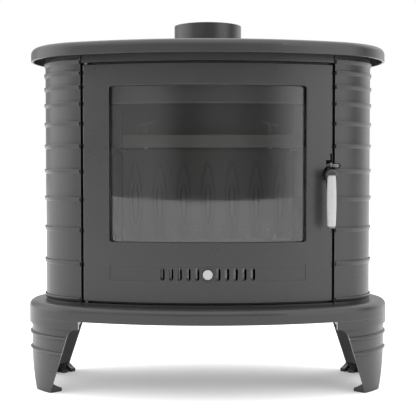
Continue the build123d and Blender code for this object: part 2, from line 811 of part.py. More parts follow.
# ------------------------------------------------------------------------ door
slot_places = [side * (slot_first + slot_pitch * n) for side in (-1, 1) for n in range(slot_count)]
handle_slot_left = lever_x - neck_width / 2 - neck_clearance
handle_slot_right = door_half_width - handle_strip
handle_slot_top_z = pin_z + 11.6
handle_slot_bottom_z = boss_z - 26.6
rope_outer_x = door_half_width - rope_inset + rope_width / 2
rope_bottom_z = door_bottom_z + rope_inset_z - rope_width / 2
rope_top_z = door_top_z - rope_inset_z + rope_width / 2
rope_floor_radius = door_inner_radius + rope_groove
knob_slot_width = 2 * knob_stem_radius + shutter_open_travel + shutter_close_travel + 2 * knob_slot_clearance
knob_slot_x = (shutter_close_travel - shutter_open_travel) / 2
clip_rows = ((window_bottom_z - glass_lap, -1), (window_top_z + glass_lap, 1))
clip_places = [(side * window_half_width * 0.7, z, way) for side in (-1, 1) for z, way in clip_rows]
clip_screw_planes = [
    inward(front_plane(x, z + way * clip_tail * 0.6, door_inner_radius - clip_thickness - head_clearance))
    for x, z, way in clip_places
]
guide_half_width = slot_first + slot_pitch * (slot_count - 1) + slot_width / 2 + shutter_end
guide_rows = ((slot_z - shutter_height / 2, -1), (slot_z + shutter_height / 2, 1))
guide_face_radius = door_inner_radius - shutter_thickness - 2 * guide_clearance
guide_inner_radius = guide_face_radius - 1.5
guide_screw_planes = [
    inward(front_plane(side * (guide_half_width - 6.0), z + way * guide_height * 0.55,
                       guide_inner_radius - head_clearance))
    for side in (-1, 1) for z, way in guide_rows
]


def front_prism(sketch):
    """A front-view profile pushed right through the front of the stove."""
    with BuildPart() as prism:
        with BuildSketch(Plane.XZ):
            add(sketch)
        extrude(amount=top_half_depth)
    return prism.part


with BuildSketch() as door_cuts:
    with Locations((0, window_middle_z)):
        RectangleRounded(2 * window_half_width, window_height, window_corner)

with BuildSketch() as small_cuts:
    with Locations(*[(x, slot_z) for x in slot_places]):
        SlotOverall(slot_height, slot_width, rotation=90)
    with Locations((knob_slot_x, knob_z)):
        SlotOverall(knob_slot_width, 2 * (knob_stem_radius + knob_slot_clearance))
    with Locations((lever_x, boss_z), (lever_x, boss_z + boss_swing)):
        Circle(boss_radius + boss_clearance)
    with Locations(((handle_slot_left + handle_slot_right) / 2,
                    (handle_slot_top_z + handle_slot_bottom_z) / 2)):
        Rectangle(handle_slot_right - handle_slot_left, handle_slot_top_z - handle_slot_bottom_z)
    with Locations((latch_x, handle_slot_top_z + latch_slot_rise / 2)):
        Rectangle(latch_plate_thickness + 0.4, latch_slot_rise)

with BuildPart() as door_frame:
    with BuildSketch(Plane.XY.offset(door_bottom_z)):
        section = add(front_band(body_front_radius, door_inner_radius, door_half_width))
        corners = section.vertices().sort_by(Axis.X)
        fillet([corners[:2].sort_by(Axis.Y)[0], corners[2:].sort_by(Axis.Y)[0]], door_edge_radius)
    extrude(amount=door_height)
    inner_edge = door_frame.edges().filter_by(Axis.Z).sort_by(Axis.X)[:3].sort_by(Axis.Y)[-1]
    fillet(inner_edge, min(hinge_inset - 0.5, door_thickness - door_edge_radius - 1.0))
    add(front_prism(door_cuts.sketch), mode=Mode.SUBTRACT)
    rims = door_frame.edges().filter_by(
        lambda e: abs((e @ 0.5).X) < door_half_width - door_edge_radius / 2
        and abs(((e @ 0.5) - Vector(0, front_centre_y, (e @ 0.5).Z)).length - body_front_radius) < 0.01
    )
    fillet(rims, window_edge_radius)
    add(front_prism(small_cuts.sketch), mode=Mode.SUBTRACT)
    add(band_solid(glass_seat_radius, door_inner_radius - 1.0, glass_half_width + glass_clearance,
                   window_bottom_z - glass_lap - glass_clearance, glass_height + 2 * glass_clearance),
        mode=Mode.SUBTRACT)
    add(front_ring(rope_floor_radius, door_inner_radius - 1.0, rope_outer_x, rope_bottom_z, rope_top_z,
                   rope_width), mode=Mode.SUBTRACT)
    add(band_solid(body_front_radius + 1.0, body_front_radius - strip_depth, window_half_width,
                   strip_bottom_z, strip_height), mode=Mode.SUBTRACT)
    with Locations(*[(side * door_half_width, panel_edge_y, z) for side in (-1, 1) for z in rib_levels[1:-1]]):
        Box(2 * rib_notch, 2 * door_edge_radius, rib_notch_height, mode=Mode.SUBTRACT)
    add(holes(clip_screw_planes, clip_screw_length, clip_screw_radius), mode=Mode.SUBTRACT)
    add(holes(guide_screw_planes, guide_screw_length, guide_screw_radius), mode=Mode.SUBTRACT)
    with Locations((hinge_x, hinge_y, door_bottom_z), (hinge_x, hinge_y, door_top_z)):
        Cylinder(hinge_pin_radius + pin_clearance, 2 * hinge_pin_length, mode=Mode.SUBTRACT)
    with Locations(Plane(origin=(handle_slot_left - 6.0, lever_pin_y, pin_z),
                         x_dir=(0, 1, 0), z_dir=(1, 0, 0))):
        Cylinder(lever_pin_radius + pin_clearance, 40.0, align=(Align.CENTER, Align.CENTER, Align.MIN),
                 mode=Mode.SUBTRACT)

# ------------------------------------------------------- glass, seals and clips
with BuildPart() as door_glass:
    add(band_solid(glass_outer_radius, door_inner_radius, glass_half_width,
                   window_bottom_z - glass_lap, glass_height))

with BuildPart() as glass_gasket:
    add(front_ring(glass_seat_radius, glass_outer_radius, glass_half_width, window_bottom_z - glass_lap,
                   window_top_z + glass_lap, glass_gasket_width))

with BuildPart() as door_gasket:
    add(front_ring(rope_floor_radius, frame_outer_radius + rope_clearance, rope_outer_x, rope_bottom_z,
                   rope_top_z, rope_width))


def front_patch(outer_radius, inner_radius, x, width, bottom_z, height):
    """Piece of a front band that is centred on x instead of on the middle."""
    with BuildPart() as patch:
        add(band_solid(outer_radius, inner_radius, abs(x) + width, bottom_z, height))
        with Locations((x, 0, bottom_z)):
            Box(width, 2 * top_half_depth, height, align=(Align.CENTER, Align.CENTER, Align.MIN),
                mode=Mode.INTERSECT)
    return patch.part


with BuildPart() as glass_clips:
    for x, z, way in clip_places:
        add(front_patch(door_inner_radius, door_inner_radius - clip_thickness, x, clip_width,
                        min(z - way * clip_grip, z + way * clip_tail), clip_grip + clip_tail))
    add(holes(clip_screw_planes, clip_screw_length, clip_screw_radius), mode=Mode.SUBTRACT)

with BuildPart() as glass_clip_screws:
    add(placed(clip_screw_planes, screw(clip_screw_length, clip_screw_radius)))

# ------------------------------------------------------------------ hinge pins
with BuildPart() as hinge_pin_upper:
    with Locations((hinge_x, hinge_y, door_top_z + hinge_pin_reach)):
        Cylinder(hinge_pin_radius, hinge_pin_length + hinge_pin_reach,
                 align=(Align.CENTER, Align.CENTER, Align.MAX))

with BuildPart() as hinge_pin_lower:
    with Locations((hinge_x, hinge_y, door_bottom_z - hinge_pin_reach)):
        Cylinder(hinge_pin_radius, hinge_pin_length + hinge_pin_reach,
                 align=(Align.CENTER, Align.CENTER, Align.MIN))

# ----------------------------------------------------------------- air shutter
shutter_outer_radius = door_inner_radius - guide_clearance
shutter_inner_radius = shutter_outer_radius - shutter_thickness
shutter_half_width = guide_half_width - shutter_end / 2

with BuildSketch() as shutter_cuts:
    with Locations(*[(x + shutter_slot_width / 2, slot_z) for x in slot_places]):
        SlotOverall(slot_height, shutter_slot_width, rotation=90)
    with Locations((0, knob_z)):
        Circle(knob_stem_radius + pin_clearance)

with BuildPart() as air_shutter:
    add(band_solid(shutter_outer_radius, shutter_inner_radius, shutter_half_width,
                   slot_z - shutter_height / 2 + guide_clearance, shutter_height - 2 * guide_clearance))
    add(front_prism(shutter_cuts.sketch), mode=Mode.SUBTRACT)

knob_face_y = -(body_half_depth - strip_depth + 1.0)
with BuildPart() as air_knob:
    with BuildSketch(Plane.XZ.offset(-knob_face_y)):
        with Locations((0, knob_z)):
            Circle(knob_radius)
    extrude(amount=knob_thickness)
    fillet(air_knob.edges().sort_by(Axis.Y)[0], 2.0)
    with BuildSketch(Plane.XZ.offset(-knob_face_y)):
        with Locations((0, knob_z)):
            Circle(knob_stem_radius)
    extrude(amount=-(body_half_depth - strip_depth + 1.0 - (shutter_inner_radius - front_centre_y)))

with BuildPart() as shutter_guides:
    for z, way in guide_rows:
        add(band_solid(door_inner_radius, guide_inner_radius, guide_half_width,
                       min(z, z + way * guide_height), guide_height))
        add(band_solid(guide_face_radius, guide_inner_radius, guide_half_width,
                       min(z, z - way * guide_lip), guide_lip))
    add(holes(guide_screw_planes, guide_screw_length, guide_screw_radius), mode=Mode.SUBTRACT)

with BuildPart() as shutter_guide_screws:
    add(placed(guide_screw_planes, screw(guide_screw_length, guide_screw_radius)))

# ------------------------------------------------------------ handle and latch
grip_top_z = boss_z - 0.8
boss_rear_y = lever_pin_y + 4.0
boss_front_y = grip_y - grip_radius_end
lever_tail_z = grip_top_z - grip_length - grip_cap_height

with BuildPart() as handle_lever:
    with BuildSketch(Plane.XZ.offset(-boss_rear_y)):
        with Locations((lever_x, boss_z)):
            Circle(boss_radius)
    extrude(amount=boss_rear_y - boss_front_y)
    fillet(handle_lever.edges().sort_by(Axis.Y)[0], boss_radius * 0.55)
    with Locations((lever_x, grip_y + grip_radius_middle + 1.0, grip_top_z)):
        Box(3 * boss_radius, 3 * boss_radius, 2 * boss_radius, align=(Align.CENTER, Align.MAX, Align.MAX),
            mode=Mode.SUBTRACT)
    with BuildSketch(Plane.YZ.offset(lever_x - neck_width / 2)):
        with Locations((lever_pin_y, pin_z)):
            Circle(lever_pin_radius + 2.6)
        with Locations((lever_pin_y, (pin_z + boss_z) / 2)):
            Rectangle(2 * lever_pin_radius + 1.0, boss_drop)
    extrude(amount=neck_width)
    with Locations(Plane(origin=(lever_x, grip_y, grip_top_z), z_dir=(0, 0, -1))):
        Cylinder(grip_bore, grip_length + grip_cap_height, align=(Align.CENTER, Align.CENTER, Align.MIN))
    with BuildSketch(Plane.YZ.offset(lever_x - neck_width)):
        with Locations((lever_pin_y, pin_z)):
            Circle(lever_pin_radius + pin_clearance)
    extrude(amount=2 * neck_width, mode=Mode.SUBTRACT)
    with BuildSketch(Plane.YZ.offset(latch_x - latch_plate_thickness / 2 - latch_thickness_clearance)):
        with Locations((lever_pin_y, pin_z)):
            Circle(lever_pin_radius + 6.0)
    extrude(amount=neck_width, mode=Mode.SUBTRACT)

with BuildPart() as handle_grip:
    grip_plane = Plane(origin=(lever_x, grip_y, grip_top_z - grip_length), x_dir=(1, 0, 0), z_dir=(0, -1, 0))
    with BuildSketch(grip_plane):
        with BuildLine():
            Line((0, 0), (grip_radius_end, 0))
            ThreePointArc((grip_radius_end, 0), (grip_radius_middle, grip_length / 2),
                          (grip_radius_end, grip_length))
            Line((grip_radius_end, grip_length), (0, grip_length))
            Line((0, grip_length), (0, 0))
        make_face()
    revolve(axis=Axis((lever_x, grip_y, 0), (0, 0, 1)))
    fillet(handle_grip.edges().filter_by(GeomType.CIRCLE), 0.9)
    with Locations((lever_x, grip_y, grip_top_z)):
        Cylinder(grip_bore + pin_clearance, 2 * grip_length, mode=Mode.SUBTRACT)

with BuildPart() as handle_grip_nut:
    with Locations((lever_x, grip_y, lever_tail_z)):
        Cylinder(grip_radius_end - 1.2, grip_cap_height, align=(Align.CENTER, Align.CENTER, Align.MIN))
        fillet(handle_grip_nut.edges().sort_by(Axis.Z)[0], 1.2)
        Cylinder(grip_bore + pin_clearance, 3 * grip_cap_height, mode=Mode.SUBTRACT)

lever_pin_start_x = handle_slot_left - 5.5
lever_pin_end_x = door_half_width + 1.0
lever_pin_length = lever_pin_end_x - lever_pin_start_x
lever_pin_plane = Plane(origin=(lever_pin_start_x, lever_pin_y, pin_z), x_dir=(0, 1, 0), z_dir=(1, 0, 0))
with BuildPart(lever_pin_plane) as handle_pin:
    Cylinder(lever_pin_radius, lever_pin_length, align=(Align.CENTER, Align.CENTER, Align.MIN))
    with Locations((0, 0, lever_pin_length)):
        Cylinder(lever_pin_head_radius, lever_pin_head_length, align=(Align.CENTER, Align.CENTER, Align.MIN))
    fillet(handle_pin.edges().sort_by(Axis.X)[-1], lever_pin_head_radius * 0.8)

latch_tip_y = front_centre_y - sqrt((frame_inner_radius - keeper_thickness) ** 2 - latch_x**2) + 8.5
with BuildPart() as latch_hook:
    with BuildSketch(Plane.YZ.offset(latch_x - latch_plate_thickness / 2)):
        with Locations((lever_pin_y, pin_z)):
            Circle(lever_pin_radius + 4.4)
        with BuildLine():
            Polyline(
                (lever_pin_y, pin_z - 7.0),
                (latch_tip_y, pin_z - 7.0),
                (latch_tip_y, pin_z + latch_nose_height),
                (latch_tip_y - 7.0, pin_z + latch_nose_height),
                (latch_tip_y - 9.0, pin_z + 5.0),
                (lever_pin_y, pin_z + 5.0),
                close=True,
            )
        make_face()
        with Locations((lever_pin_y, pin_z)):
            Circle(lever_pin_radius + pin_clearance, mode=Mode.SUBTRACT)
    extrude(amount=latch_plate_thickness)

with BuildPart() as latch_keeper:
    add(front_patch(frame_inner_radius, frame_inner_radius - keeper_thickness, latch_x, 2 * keeper_half_width,
                    keeper_bottom_z, keeper_top_z - keeper_bottom_z))
    with BuildSketch(Plane.XZ):
        add(xz_opening(latch_x, latch_slot_bottom_z, pin_z + latch_nose_height + keeper_lip_gap,
                       2 * latch_slot_half, 1.0))
    extrude(amount=top_half_depth, mode=Mode.SUBTRACT)
    add(holes(keeper_screw_planes, keeper_screw_length), mode=Mode.SUBTRACT)

with BuildPart() as latch_keeper_screws:
    add(placed(keeper_screw_planes, screw(keeper_screw_length)))

# --------------------------------------------------------------------- firebox
support_x = liner_x - 12.0
shelf_z = frame_opening_bottom_z - shelf_thickness
grate_half_width = liner_x - grate_margin
grate_front_y = liner_front_y + 28.0
grate_rear_y = back_liner_y - 42.0
grate_depth = grate_rear_y - grate_front_y
grate_middle_y = (grate_front_y + grate_rear_y) / 2
firebox_front_radius = frame_inner_radius - 1.5
liner_top_z = baffle_rear_z - baffle_thickness

with BuildSketch() as firebox_plan:
    with Locations((0, front_centre_y)):
        Circle(firebox_front_radius)
    with Locations((0, back_liner_y + liner_thickness)):
        Rectangle(2 * liner_outer_x, 2 * top_half_depth, align=(Align.CENTER, Align.MAX), mode=Mode.INTERSECT)

with BuildPart() as floor_support_left:
    with Locations((-support_x, liner_front_y, base_top_z)):
        Box(support_thickness, firebox_depth, floor_rise, align=(Align.CENTER, Align.MIN, Align.MIN))

with BuildPart() as floor_support_right:
    add(mirror(floor_support_left.part, about=Plane.YZ))

with BuildPart() as ash_shelf:
    with Locations((0, liner_front_y, shelf_z)):
        Box(2 * support_x - support_thickness, firebox_depth, shelf_thickness,
            align=(Align.CENTER, Align.MIN, Align.MIN))

ash_pan_half_width = support_x - support_thickness / 2 - 12.0
ash_pan_z = shelf_z + shelf_thickness
ash_pan_height = floor_z - ash_pan_z - 8.0
ash_pan_front_y = liner_front_y + 4.0
ash_pan_depth = firebox_depth - 20.0
with BuildPart() as ash_pan:
    with BuildSketch(Plane.XY.offset(ash_pan_z)):
        with Locations((0, ash_pan_front_y + ash_pan_depth / 2)):
            RectangleRounded(2 * ash_pan_half_width, ash_pan_depth, 8.0)
    extrude(amount=ash_pan_height)
    with BuildSketch(Plane.XY.offset(ash_pan_z + ash_pan_wall)):
        with Locations((0, ash_pan_front_y + ash_pan_depth / 2)):
            RectangleRounded(2 * (ash_pan_half_width - ash_pan_wall), ash_pan_depth - 2 * ash_pan_wall, 6.5)
    extrude(amount=ash_pan_height, mode=Mode.SUBTRACT)

ash_handle_z = ash_pan_z + ash_pan_height * 0.6
with BuildPart() as ash_pan_handle:
    with BuildLine():
        FilletPolyline(
            (-ash_handle_half, ash_pan_front_y, ash_handle_z),
            (-ash_handle_half, ash_pan_front_y - ash_handle_reach, ash_handle_z),
            (ash_handle_half, ash_pan_front_y - ash_handle_reach, ash_handle_z),
            (ash_handle_half, ash_pan_front_y, ash_handle_z),
            radius=10.0,
        )
    with BuildSketch(Plane(origin=(-ash_handle_half, ash_pan_front_y, ash_handle_z), z_dir=(0, -1, 0))):
        Circle(ash_handle_radius)
    sweep()

with BuildPart() as firebox_floor:
    with BuildSketch(Plane.XY.offset(floor_z)):
        add(firebox_plan.sketch)
        with Locations((0, grate_middle_y)):
            Rectangle(2 * (grate_half_width - grate_lap), grate_depth - 2 * grate_lap, mode=Mode.SUBTRACT)
    extrude(amount=floor_thickness)
    with BuildSketch(Plane.XY.offset(floor_z + floor_thickness / 2)):
        with Locations((0, grate_middle_y)):
            Rectangle(2 * grate_half_width, grate_depth)
    extrude(amount=floor_thickness, mode=Mode.SUBTRACT)

grate_slots = int((2 * grate_half_width - 20.0) / grate_slot_pitch)
with BuildPart() as grate:
    with BuildSketch(Plane.XY.offset(floor_z + floor_thickness / 2)):
        with Locations((0, grate_middle_y)):
            RectangleRounded(2 * (grate_half_width - grate_clearance), grate_depth - 2 * grate_clearance, 3.0)
            with GridLocations(grate_slot_pitch, 0, grate_slots, 1):
                SlotOverall(grate_depth - 26.0, grate_slot_width, rotation=90, mode=Mode.SUBTRACT)
    extrude(amount=grate_thickness)

# Rows of pointed teeth that keep the logs off the glass and off the back wall
tooth_pitch = 2 * liner_x / (tooth_count - 0.87)
tooth_places = [tooth_pitch * (n - (tooth_count - 1) / 2) for n in range(tooth_count)]
guard_radius = frame_inner_radius - 14.0
guard_half_width = liner_x - 3.0
comb_y = back_liner_y - 12.0


def toothed_profile(half_width, foot, tip):
    """Front view of a rail with upright teeth."""
    rail_z = fire_z + log_rail_height
    with BuildSketch() as shape:
        with Locations((0, fire_z)):
            Rectangle(2 * half_width, log_rail_height, align=(Align.CENTER, Align.MIN))
        for x in tooth_places:
            with BuildLine():
                Polyline((x - foot / 2, rail_z), (x + foot / 2, rail_z), (x + tip / 2, rail_z + tooth_height),
                         (x - tip / 2, rail_z + tooth_height), close=True)
            make_face()
        with Locations((0, fire_z)):
            Rectangle(2 * half_width, 2 * (log_rail_height + tooth_height), mode=Mode.INTERSECT)
    return shape.sketch


with BuildPart() as log_guard:
    add(band_solid(guard_radius, guard_radius - guard_thickness, guard_half_width, fire_z,
                   log_rail_height + tooth_height))
    add(front_prism(toothed_profile(guard_half_width, front_tooth_width, front_tooth_width - 2.5)),
        mode=Mode.INTERSECT)

with BuildPart() as rear_log_comb:
    with BuildSketch(Plane.XZ.offset(-comb_y)):
        add(toothed_profile(guard_half_width, rear_tooth_foot, rear_tooth_tip))
    extrude(amount=comb_thickness)

# Cast liners; the back one carries a row of pointed leaves
leaf_pitch = 2 * liner_x / (leaf_count + 0.12)
leaf_bottom_z = fire_z + leaf_foot
leaf_top_z = liner_top_z - leaf_head
leaf_height = leaf_top_z - leaf_bottom_z
leaf_vein_width = leaf_width * 0.34


def leaf(width, height, bottom_z):
    """Pointed leaf: two arcs that meet at the tip and at the foot."""
    with BuildSketch() as shape:
        with BuildLine():
            ThreePointArc((0, bottom_z), (width / 2, bottom_z + height * 0.5), (0, bottom_z + height))
            ThreePointArc((0, bottom_z + height), (-width / 2, bottom_z + height * 0.5), (0, bottom_z))
        make_face()
    return shape.sketch


with BuildPart() as back_liner:
    with Locations((0, back_liner_y, fire_z)):
        Box(2 * liner_outer_x, liner_thickness, liner_top_z - fire_z,
            align=(Align.CENTER, Align.MIN, Align.MIN))
    with BuildSketch(Plane.XZ.offset(-back_liner_y)):
        with Locations(*[(leaf_pitch * (n - (leaf_count - 1) / 2), 0) for n in range(leaf_count)]):
            add(leaf(leaf_width, leaf_height, leaf_bottom_z))
            add(leaf(leaf_width - 7.0, leaf_height - 60.0, leaf_bottom_z + 22.0), mode=Mode.SUBTRACT)
            add(leaf(leaf_vein_width, leaf_height * 0.62, leaf_bottom_z + 34.0))
    extrude(amount=leaf_relief)

with BuildPart() as side_liner_left:
    with Locations((-liner_x, liner_front_y, fire_z)):
        Box(liner_thickness, firebox_depth, liner_top_z - fire_z, align=(Align.MAX, Align.MIN, Align.MIN))

with BuildPart() as side_liner_right:
    add(mirror(side_liner_left.part, about=Plane.YZ))

# Level baffle board between the liners, with the smoke gap in front of it
baffle_half_width = liner_x - 6.5
baffle_front_y = liner_front_y + baffle_throat
baffle_rear_y = back_liner_y - leaf_relief - 1.0
baffle_slope = (baffle_front_z - baffle_rear_z) / (baffle_rear_y - baffle_front_y)
hanger_top_z = baffle_front_z + 60.0


def baffle_under(y):
    """Height of the baffle's underside."""
    return baffle_rear_z + (baffle_rear_y - y) * baffle_slope - baffle_thickness


bolt_x = baffle_half_width * 0.7
baffle_bolt_y = baffle_front_y + 14.0
baffle_bolt_planes = [
    Plane(origin=(side * bolt_x, baffle_bolt_y, baffle_under(baffle_bolt_y)),
          x_dir=(1, 0, 0), z_dir=(0, -baffle_slope, -1))
    for side in (-1, 1)
]
with BuildPart() as baffle:
    with BuildSketch(Plane.YZ.offset(-baffle_half_width)):
        with BuildLine():
            Polyline(
                (baffle_front_y, baffle_under(baffle_front_y)),
                (baffle_rear_y, baffle_under(baffle_rear_y)),
                (baffle_rear_y, baffle_rear_z),
                (baffle_front_y, baffle_front_z),
                close=True,
            )
        make_face()
    extrude(amount=2 * baffle_half_width)
    add(holes(baffle_bolt_planes, baffle_thickness - 2.0), mode=Mode.SUBTRACT)

with BuildPart() as lift_tab_right:
    with BuildSketch(Plane.XZ.offset(-baffle_bolt_y - tab_thickness / 2)):
        with BuildLine():
            Polyline(
                (bolt_x - tab_length / 2, baffle_front_z + tab_plate_height + tab_rise),
                (bolt_x + tab_length / 2, baffle_front_z + tab_plate_height),
                (bolt_x + tab_length / 2, baffle_front_z + tab_plate_height - tab_height),
                (bolt_x - tab_length / 2, baffle_front_z + tab_plate_height + tab_rise - tab_height),
                close=True,
            )
        make_face()
        with Locations((bolt_x, baffle_front_z)):
            Rectangle(tab_post_width, tab_plate_height + tab_rise / 2 - tab_height / 2,
                      align=(Align.CENTER, Align.MIN))
    extrude(amount=tab_thickness)

with BuildPart() as baffle_lift_tabs:
    add(lift_tab_right.part)
    add(mirror(lift_tab_right.part, about=Plane.YZ))

with BuildPart() as baffle_bolts:
    add(placed(baffle_bolt_planes, screw(baffle_thickness - 2.0)))

with BuildPart() as baffle_ledge_right:
    ledge_y = baffle_rear_y - ledge_rear_gap - ledge_length
    with BuildSketch(Plane.YZ.offset(liner_x - ledge_width)):
        with BuildLine():
            Polyline(
                (ledge_y, baffle_under(ledge_y)),
                (ledge_y + ledge_length, baffle_under(ledge_y + ledge_length)),
                (ledge_y + ledge_length, baffle_under(ledge_y + ledge_length) - ledge_thickness),
                (ledge_y, baffle_under(ledge_y) - ledge_thickness),
                close=True,
            )
        make_face()
    extrude(amount=ledge_width)

with BuildPart() as baffle_ledge_left:
    add(mirror(baffle_ledge_right.part, about=Plane.YZ))

with BuildPart() as baffle_hanger_right:
    with Locations((liner_outer_x, baffle_front_y, liner_top_z)):
        Box(hanger_width + liner_thickness, hanger_thickness, hanger_top_z - liner_top_z,
            align=(Align.MAX, Align.MAX, Align.MIN))

with BuildPart() as baffle_hanger_left:
    add(mirror(baffle_hanger_right.part, about=Plane.YZ))

with BuildPart() as airwash_plate:
    add(band_solid(frame_inner_radius, frame_inner_radius - airwash_thickness, liner_x, airwash_drop_z,
                   frame_opening_top_z + airwash_lap - airwash_drop_z))
    add(band_solid(frame_inner_radius + 4.0, frame_inner_radius, liner_x, airwash_drop_z, airwash_thickness))
    add(holes(airwash_screw_planes, airwash_screw_length), mode=Mode.SUBTRACT)

with BuildPart() as airwash_screws:
    add(placed(airwash_screw_planes, screw(airwash_screw_length)))

# ---------------------------------------------------------------------- export
parts = {
    "top_plate": top_plate,
    "flue_collar": flue_collar,
    "flue_collar_bolts": flue_collar_bolts,
    "base_plate": base_plate,
    "leg_front_left": leg_front_left,
    "leg_front_right": leg_front_right,
    "leg_rear_left": leg_rear_left,
    "leg_rear_right": leg_rear_right,
    "leg_bolts": leg_bolts,
    "side_panel_left": side_panel_left,
    "side_panel_right": side_panel_right,
    "front_frame": front_frame,
    "frame_screws": frame_screws,
    "back_panel": back_panel,
    "back_panel_screws": back_panel_screws,
    "tie_rods": tie_rods,
    "tie_rod_nuts": tie_rod_nuts,
    "latch_keeper": latch_keeper,
    "latch_keeper_screws": latch_keeper_screws,
    "floor_support_left": floor_support_left,
    "floor_support_right": floor_support_right,
    "ash_shelf": ash_shelf,
    "ash_pan": ash_pan,
    "ash_pan_handle": ash_pan_handle,
    "firebox_floor": firebox_floor,
    "grate": grate,
    "log_guard": log_guard,
    "rear_log_comb": rear_log_comb,
    "back_liner": back_liner,
    "side_liner_left": side_liner_left,
    "side_liner_right": side_liner_right,
    "baffle": baffle,
    "baffle_bolts": baffle_bolts,
    "baffle_lift_tabs": baffle_lift_tabs,
    "baffle_hanger_left": baffle_hanger_left,
    "baffle_hanger_right": baffle_hanger_right,
    "baffle_ledge_left": baffle_ledge_left,
    "baffle_ledge_right": baffle_ledge_right,
    "airwash_plate": airwash_plate,
    "airwash_screws": airwash_screws,
    "door_frame": door_frame,
    "door_glass": door_glass,
    "glass_gasket": glass_gasket,
    "glass_clips": glass_clips,
    "glass_clip_screws": glass_clip_screws,
    "door_gasket": door_gasket,
    "hinge_pin_upper": hinge_pin_upper,
    "hinge_pin_lower": hinge_pin_lower,
    "shutter_guides": shutter_guides,
    "shutter_guide_screws": shutter_guide_screws,
    "air_shutter": air_shutter,
    "air_knob": air_knob,
    "handle_pin": handle_pin,
    "handle_lever": handle_lever,
    "handle_grip": handle_grip,
    "handle_grip_nut": handle_grip_nut,
    "latch_hook": latch_hook,
}

for name, piece in parts.items():
    piece.part.label = name
    export_step(piece.part, f"parts/{name}.step")
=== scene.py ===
import math

import bmesh
import bpy
import numpy
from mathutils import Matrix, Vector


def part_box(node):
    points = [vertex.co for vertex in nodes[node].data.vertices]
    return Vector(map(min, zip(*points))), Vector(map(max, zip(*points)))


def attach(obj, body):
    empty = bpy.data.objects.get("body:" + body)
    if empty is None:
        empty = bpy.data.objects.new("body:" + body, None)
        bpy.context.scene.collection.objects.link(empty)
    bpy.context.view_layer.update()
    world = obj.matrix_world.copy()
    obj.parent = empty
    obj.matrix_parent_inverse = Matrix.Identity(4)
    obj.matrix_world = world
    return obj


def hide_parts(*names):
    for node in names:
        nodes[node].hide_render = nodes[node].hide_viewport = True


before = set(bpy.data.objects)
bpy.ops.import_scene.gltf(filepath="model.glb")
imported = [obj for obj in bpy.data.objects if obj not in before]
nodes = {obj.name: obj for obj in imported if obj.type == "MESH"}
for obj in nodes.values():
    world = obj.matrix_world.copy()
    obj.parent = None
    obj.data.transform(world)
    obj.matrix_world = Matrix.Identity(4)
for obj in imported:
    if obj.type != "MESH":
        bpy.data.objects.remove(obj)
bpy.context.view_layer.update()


# ---------------------------------------------------------------- cast iron shell
# The stove's outer castings: two oval plates, ribbed side panels, legs, back and door.
# Sand-cast grey iron, bolted together and sprayed with satin black heat-proof paint.
def new_group(name, inputs, outputs):
    """Shader node group with named float or colour sockets."""
    tree = bpy.data.node_groups.new(name, "ShaderNodeTree")
    for label, kind, value in inputs:
        socket = tree.interface.new_socket(label, in_out="INPUT", socket_type=kind)
        socket.default_value = value
    for label, kind in outputs:
        tree.interface.new_socket(label, in_out="OUTPUT", socket_type=kind)
    return tree, tree.nodes.new("NodeGroupInput"), tree.nodes.new("NodeGroupOutput")


def noise(tree, vector, scale, detail=3.0, rough=0.55):
    """Noise value at a point; the scale is a number or a socket."""
    node = tree.nodes.new("ShaderNodeTexNoise")
    node.inputs["Detail"].default_value = detail
    node.inputs["Roughness"].default_value = rough
    tree.links.new(vector, node.inputs["Vector"])
    if isinstance(scale, (int, float)):
        node.inputs["Scale"].default_value = scale
    else:
        tree.links.new(scale, node.inputs["Scale"])
    return node.outputs["Fac"]


def remap(tree, value, low, high, to_low, to_high):
    """Value moved from one range to another and held inside it."""
    node = tree.nodes.new("ShaderNodeMapRange")
    for label, number in (("From Min", low), ("From Max", high), ("To Min", to_low), ("To Max", to_high)):
        if isinstance(number, (int, float)):
            node.inputs[label].default_value = number
        else:
            tree.links.new(number, node.inputs[label])
    tree.links.new(value, node.inputs["Value"])
    return node.outputs["Result"]


def math_node(tree, operation, first, second):
    """Result of one sum on numbers or sockets."""
    node = tree.nodes.new("ShaderNodeMath")
    node.operation = operation
    for socket, number in zip(node.inputs, (first, second)):
        if isinstance(number, (int, float)):
            socket.default_value = number
        else:
            tree.links.new(number, socket)
    return node.outputs[0]


def mix_colour(tree, factor, first, second):
    """Blend of two colours, each a colour or a socket."""
    node = tree.nodes.new("ShaderNodeMix")
    node.data_type = "RGBA"
    for socket, value in ((node.inputs[0], factor), (node.inputs[6], first), (node.inputs[7], second)):
        if isinstance(value, (int, float, tuple)):
            socket.default_value = value
        else:
            tree.links.new(value, socket)
    return node.outputs[2]


def crevices(tree, reach):
    """Occlusion mask that is 1 on open faces and falls towards 0 in corners and grooves, used to paint shade
    there.
    """
    node = tree.nodes.new("ShaderNodeAmbientOcclusion")
    node.samples = 6
    node.inputs["Distance"].default_value = reach
    return node.outputs["AO"]


# Mask of rounded edges from the bevel normal. The lighter colour laid along it is partly paint wear and
# partly a painted highlight on rims and roundings.
edge_wear_and_highlight, group_in, group_out = new_group(
    "edge_wear_and_highlight", (("Radius", "NodeSocketFloat", 0.0016),), (("Mask", "NodeSocketFloat"),)
)
rounded = edge_wear_and_highlight.nodes.new("ShaderNodeBevel")
rounded.samples = 6
surface = edge_wear_and_highlight.nodes.new("ShaderNodeNewGeometry")
turned = edge_wear_and_highlight.nodes.new("ShaderNodeVectorMath")
turned.operation = "DOT_PRODUCT"
edge_wear_and_highlight.links.new(group_in.outputs["Radius"], rounded.inputs["Radius"])
edge_wear_and_highlight.links.new(rounded.outputs["Normal"], turned.inputs[0])
edge_wear_and_highlight.links.new(surface.outputs["Normal"], turned.inputs[1])
edge_wear_and_highlight.links.new(remap(edge_wear_and_highlight, turned.outputs["Value"], 1.0, 0.86, 0.0, 1.0), group_out.inputs["Mask"])

